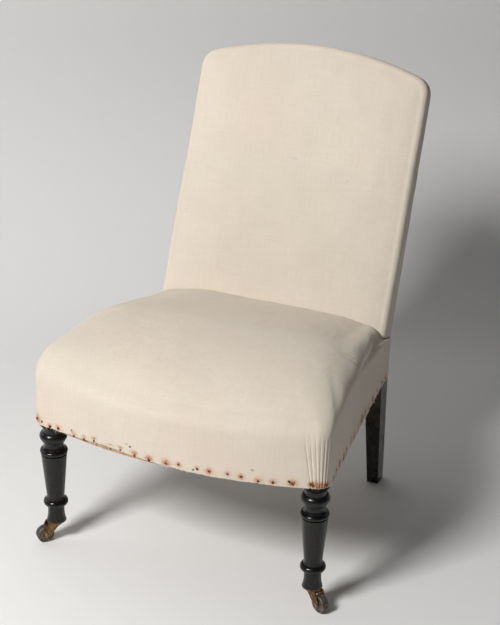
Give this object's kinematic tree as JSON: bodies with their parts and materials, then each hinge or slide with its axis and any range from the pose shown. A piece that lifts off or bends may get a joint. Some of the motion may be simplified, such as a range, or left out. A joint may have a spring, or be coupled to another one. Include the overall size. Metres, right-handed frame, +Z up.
{
  "type": "slipper chair",
  "caption": "Low armless chair with a bowed sprung seat and raked padded back in plain calico, turned black front legs on swivel casters and square raked rear legs.",
  "frame": {"origin": "on the floor under the middle of the whole chair", "axes": "+Z up; the front of the chair faces -Y; +X is the sitter's left"},
  "size_m": [0.5328, 0.6331, 0.7578],
  "materials": {
    "ebonised_wood": "glossy black, worn a little brown at the feet",
    "frame_wood": "raw sawn",
    "dowel_wood": "raw turned",
    "screw_steel": "dull, a little rusty",
    "calico": "plain unbleached cloth, matte",
    "wadding": "matte",
    "horsehair": "curled hair, matte",
    "hessian": "open weave, matte",
    "spring_steel": "coppered and dull",
    "webbing": "woven jute, matte",
    "rusty_tack": "rusty",
    "caster_brass": "tarnished",
    "caster_wheel": "dull grey bronze"
  },
  "bodies": {
    "chair": {"back_cover": "calico", "back_hessian": "hessian", "back_post_left": "ebonised_wood", "back_post_right": "ebonised_wood", "back_rail": "frame_wood", "back_stuffing": "horsehair", "back_tacks": "rusty_tack", "back_webbing": "webbing", "caster_pintle_left": "screw_steel", "caster_pintle_right": "screw_steel", "caster_plate_left": "caster_brass", "caster_plate_right": "caster_brass", "caster_plate_screws_left": "screw_steel", "caster_plate_screws_right": "screw_steel", "corner_block_screws": "screw_steel", "corner_blocks": "frame_wood", "crest_rail": "frame_wood", "front_leg_left": "ebonised_wood", "front_leg_right": "ebonised_wood", "front_rail": "frame_wood", "lower_back_rail": "frame_wood", "outside_back_cover": "calico", "rail_dowels": "dowel_wood", "seat_cover": "calico", "seat_hessian": "hessian", "seat_springs": "spring_steel", "seat_stuffing": "horsehair", "seat_tacks": "rusty_tack", "seat_wadding": "wadding", "seat_webbing": "webbing", "side_rail_left": "frame_wood", "side_rail_right": "frame_wood"},
    "caster_swivel_left": {"caster_horn_left": "caster_brass", "caster_axle_left": "screw_steel"},
    "caster_roll_left": {"caster_wheel_left": "caster_wheel"},
    "caster_swivel_right": {"caster_horn_right": "caster_brass", "caster_axle_right": "screw_steel"},
    "caster_roll_right": {"caster_wheel_right": "caster_wheel"}
  },
  "joints": [
    {"name": "caster_swivel_left", "type": "hinge", "parent": "chair", "child": "caster_swivel_left", "pos_m": [-0.235, -0.2602, 0.034], "axis": [0, 0, 1], "continuous": true},
    {"name": "caster_roll_left", "type": "hinge", "parent": "caster_swivel_left", "child": "caster_roll_left", "pos_m": [-0.24942, -0.27588, 0.0147], "axis": [0.7361, -0.6769, 0], "continuous": true},
    {"name": "caster_swivel_right", "type": "hinge", "parent": "chair", "child": "caster_swivel_right", "pos_m": [0.235, -0.2602, 0.034], "axis": [0, 0, 1], "continuous": true},
    {"name": "caster_roll_right", "type": "hinge", "parent": "caster_swivel_right", "child": "caster_roll_right", "pos_m": [0.25388, -0.27007, 0.0147], "axis": [0.4633, 0.8862, 0], "continuous": true}
  ]
}
